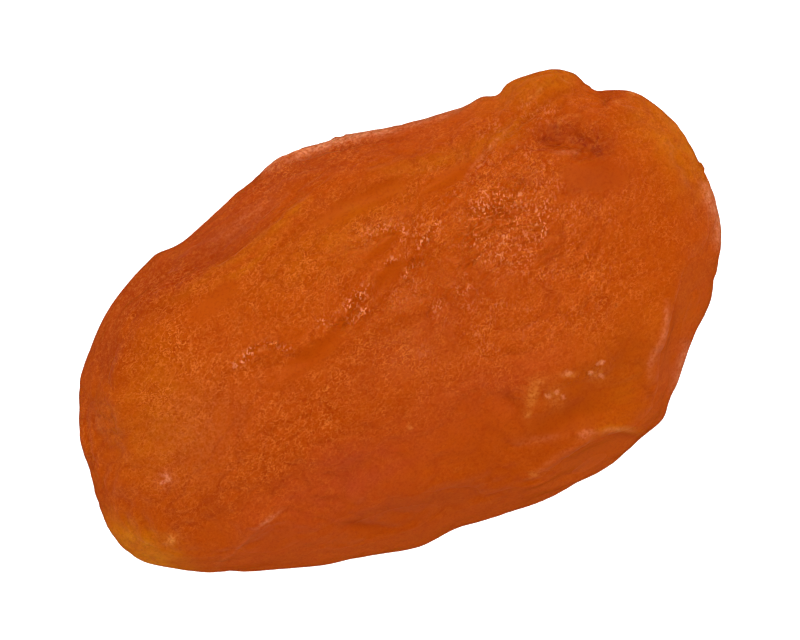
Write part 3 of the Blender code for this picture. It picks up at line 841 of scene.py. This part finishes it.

# Fine crinkles run where their noise crosses its middle value: each gets a painted highlight, and
# painted shade on one side
near_lines = []
for offset in (0.0, LINE_SHADE):
    shifted = add_node(tree, "ShaderNodeMath", {"operation": "ADD"}, {
        0: noises["crinkles"], 1: offset,
    }).outputs["Value"]
    near_lines.append(add_node(tree, "ShaderNodeMath", {"operation": "PINGPONG"}, {
        0: shifted, 1: NOISE_MIDDLE,
    }).outputs["Value"])
line_edge = (NOISE_MIDDLE - LINE_WIDTH, NOISE_MIDDLE - LINE_CORE * LINE_WIDTH)

# Ranges: what is read, its values at the two ends, and what they become
RANGES = {
    # Painted highlights on the grain's tops and painted shade in its pits
    "grain_top_highlights": (noises["grain"], (0.52, 0.66), (0.0, 0.4)),
    "grain_pit_shade": (noises["grain"], (0.49, 0.33), (0.0, 0.35)),
    "grain_patches": (noises["patches"], (0.4, 0.6), (0.45, 1.0)),
    "broken": (noises["grain"], (0.35, 0.6), (0.25, 1.0)),
    "glint_strokes": (noises["strokes"], (0.56, 0.6), (0.0, 1.0)),
    "glint_patches": (noises["patches"], (0.42, 0.56), (0.15, 1.0)),
    # Painted highlights on the crinkles and painted shade beside them; the lit lines also raise the
    # bump
    "lit_crinkle_lines": (near_lines[0], line_edge, (0.0, LINE_STRENGTH)),
    "shaded_lines": (near_lines[1], line_edge, (0.0, LINE_STRENGTH)),
    "roughness": (painted["glossy"], (0.0, 1.0), (0.56, 0.15)),
}
ranged = {}
for name, (source, read, given) in RANGES.items():
    ranged[name] = add_node(tree, "ShaderNodeMapRange", {}, {
        "Value": source,
        "From Min": read[0],
        "From Max": read[1],
        "To Min": given[0],
        "To Max": given[1],
    }).outputs["Result"]

grain_places, glint_places = [
    add_node(tree, "ShaderNodeMath", {"operation": "MULTIPLY"}, {
        0: ranged[patches], 1: painted[field],
    }).outputs["Value"]
    for patches, field in (("grain_patches", "grainy"), ("glint_patches", "painted_glints"))
]

# Colours laid over one another: the marks of each, where they lie, and the colour
colour = linear(FLESH)
for marks, marked_places, hex_colour in (
    (noises["mottling"], EVERYWHERE, FLESH_DEEP),
    (EVERYWHERE, painted["amber"], FLESH_AMBER),
    (EVERYWHERE, painted["blush"], SKIN_BLUSH),
    (EVERYWHERE, painted["deep"], FLESH_DARK),
    # Painted shade in the creases, the valleys and the pleats
    (EVERYWHERE, painted["crease_shade"], CREASE_SHADE_DARK),
    (EVERYWHERE, painted["scar"], SCAR_RED),
    # Painted shade in the grain's pits and beside the crinkles, then painted highlights on the
    # grain's tops and the crinkles
    (ranged["grain_pit_shade"], EVERYWHERE, SHADE_DARK),
    (ranged["shaded_lines"], grain_places, SHADE_DARK),
    (ranged["grain_top_highlights"], grain_places, GRAIN_HIGHLIGHT),
    (ranged["lit_crinkle_lines"], grain_places, GRAIN_HIGHLIGHT),
    # Painted glints, in pale strokes
    (ranged["glint_strokes"], glint_places, GLINT_PALE),
    # Pale rubbed skin with painted sheen and highlights, and yellow flecks
    (ranged["broken"], painted["bloom_and_sheen"], BLOOM_AND_SHEEN_PALE),
    (ranged["broken"], painted["fleck"], FLECK_YELLOW),
):
    share = add_node(tree, "ShaderNodeMath", {"operation": "MULTIPLY"}, {
        0: marks, 1: marked_places,
    }).outputs["Value"]
    colour = add_node(tree, "ShaderNodeMixRGB", {}, {
        "Fac": share, "Color1": colour, "Color2": linear(hex_colour),
    }).outputs["Color"]

grain_bump = add_node(tree, "ShaderNodeBump", {}, {
    "Height": noises["grain"], "Distance": GRAIN_HEIGHT * MM, "Strength": painted["grainy"],
}).outputs["Normal"]
crinkle_bump = add_node(tree, "ShaderNodeBump", {}, {
    "Height": ranged["lit_crinkle_lines"], "Distance": LINE_HEIGHT * MM, "Strength": painted["wet"],
    "Normal": grain_bump,
}).outputs["Normal"]

tree.links.new(colour, shader.inputs["Base Color"])
tree.links.new(ranged["roughness"], shader.inputs["Roughness"])
tree.links.new(crinkle_bump, shader.inputs["Normal"])
shader.inputs["IOR"].default_value = FLESH_IOR
shader.inputs["Specular IOR Level"].default_value = SHEEN_STRENGTH
shader.inputs["Specular Tint"].default_value = linear(SHEEN_TINT)
shader.inputs["Subsurface Weight"].default_value = SEE_THROUGH_SHARE
shader.inputs["Subsurface Radius"].default_value = SEE_THROUGH_BY_COLOUR
shader.inputs["Subsurface Scale"].default_value = SEE_THROUGH_DEPTH * MM
fruit_mesh.materials.clear()
fruit_mesh.materials.append(flesh)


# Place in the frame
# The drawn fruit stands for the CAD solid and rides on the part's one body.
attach(fruit, "root")
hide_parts("apricot")
